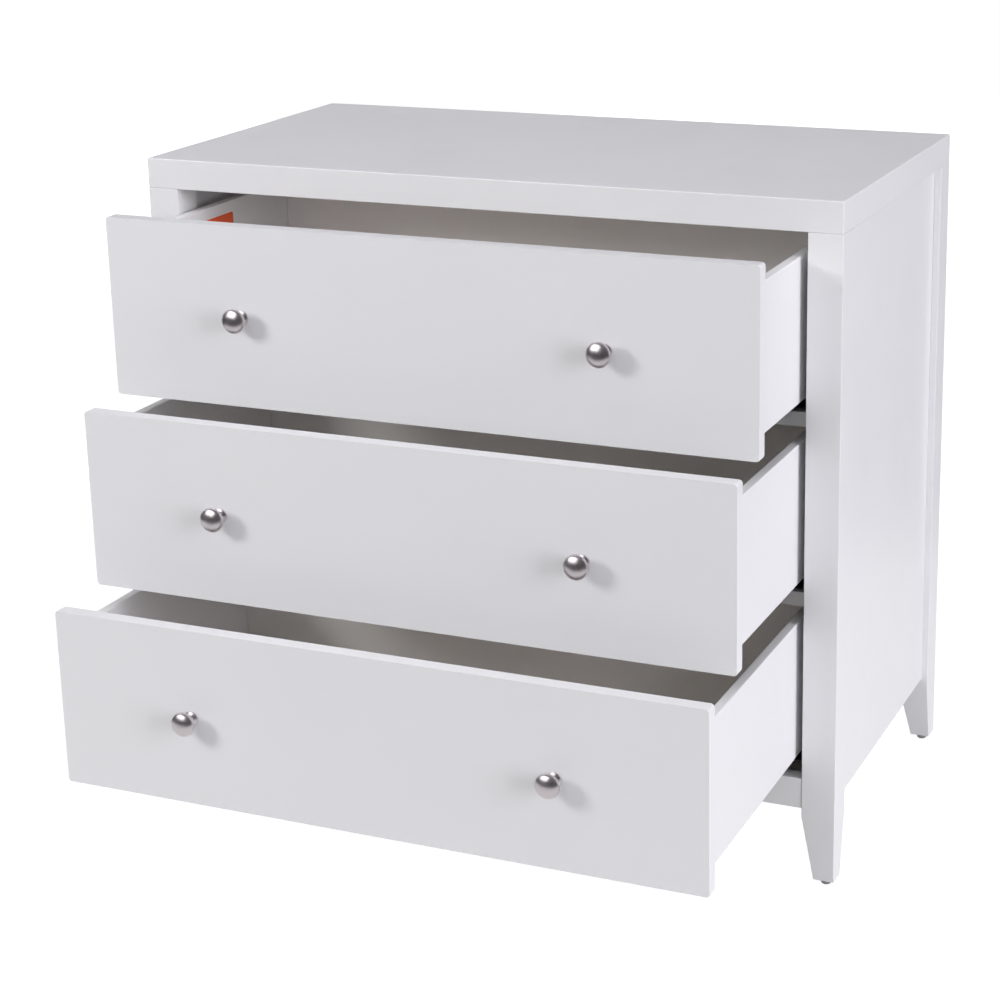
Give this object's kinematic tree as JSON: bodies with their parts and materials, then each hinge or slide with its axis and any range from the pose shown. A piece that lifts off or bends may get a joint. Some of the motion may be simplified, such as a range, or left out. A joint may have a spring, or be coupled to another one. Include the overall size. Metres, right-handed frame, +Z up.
{
  "type": "chest of drawers",
  "caption": "White painted chest of drawers on tapered legs, with a thick square-edged top, recessed side panels, round metal knobs and flat-fronted drawers that slide on hidden steel runners.",
  "frame": {"origin": "centre of the footprint on the floor, with the drawers standing open as they are at rest", "axes": "+X to the viewer's right along the width, +Y to the back, +Z up; the drawers open along -Y"},
  "size_m": [0.914, 0.834, 0.85],
  "materials": {
    "white_painted_wood": "satin white paint",
    "drawer_wood": "matt, unpainted",
    "drawer_bottom_board": "matt, unpainted board",
    "satin_nickel": "satin nickel plating",
    "zinc_plated_steel": "zinc plated",
    "black_steel": "black coating",
    "glide_plastic": "grey plastic",
    "sticker": "plain orange film"
  },
  "bodies": {
    "case": {"top_panel": "white_painted_wood", "post_front_left": "white_painted_wood", "post_front_right": "white_painted_wood", "post_back_left": "white_painted_wood", "post_back_right": "white_painted_wood", "side_panel_left": "white_painted_wood", "side_panel_right": "white_painted_wood", "back_panel": "white_painted_wood", "divider_rail_upper": "white_painted_wood", "divider_rail_lower": "white_painted_wood", "bottom_rail_front": "white_painted_wood", "bottom_rail_back": "white_painted_wood", "bottom_panel": "white_painted_wood", "glide_front_left": "glide_plastic", "glide_front_right": "glide_plastic", "glide_back_left": "glide_plastic", "glide_back_right": "glide_plastic", "case_slide_top_left": "black_steel", "case_slide_top_right": "black_steel", "case_slide_middle_left": "black_steel", "case_slide_middle_right": "black_steel", "case_slide_bottom_left": "black_steel", "case_slide_bottom_right": "black_steel"},
    "top_drawer": {"top_front": "white_painted_wood", "top_side_left": "white_painted_wood", "top_side_right": "white_painted_wood", "top_back": "drawer_wood", "top_bottom": "drawer_bottom_board", "top_knob_left": "satin_nickel", "top_knob_right": "satin_nickel", "top_screw_left": "zinc_plated_steel", "top_screw_right": "zinc_plated_steel", "top_slide_left": "black_steel", "top_slide_right": "black_steel", "top_sticker": "sticker"},
    "middle_drawer": {"middle_front": "white_painted_wood", "middle_side_left": "white_painted_wood", "middle_side_right": "white_painted_wood", "middle_back": "drawer_wood", "middle_bottom": "drawer_bottom_board", "middle_knob_left": "satin_nickel", "middle_knob_right": "satin_nickel", "middle_screw_left": "zinc_plated_steel", "middle_screw_right": "zinc_plated_steel", "middle_slide_left": "black_steel", "middle_slide_right": "black_steel"},
    "bottom_drawer": {"bottom_front": "white_painted_wood", "bottom_side_left": "white_painted_wood", "bottom_side_right": "white_painted_wood", "bottom_back": "drawer_wood", "bottom_bottom": "drawer_bottom_board", "bottom_knob_left": "satin_nickel", "bottom_knob_right": "satin_nickel", "bottom_screw_left": "zinc_plated_steel", "bottom_screw_right": "zinc_plated_steel", "bottom_slide_left": "black_steel", "bottom_slide_right": "black_steel"}
  },
  "joints": [
    {"name": "top_drawer_slide", "type": "slide", "parent": "case", "child": "top_drawer", "axis": [0, -1, 0], "range_m": [-0.162, 0.178]},
    {"name": "middle_drawer_slide", "type": "slide", "parent": "case", "child": "middle_drawer", "axis": [0, -1, 0], "range_m": [-0.235, 0.105]},
    {"name": "bottom_drawer_slide", "type": "slide", "parent": "case", "child": "bottom_drawer", "axis": [0, -1, 0], "range_m": [-0.324, 0.016]}
  ]
}
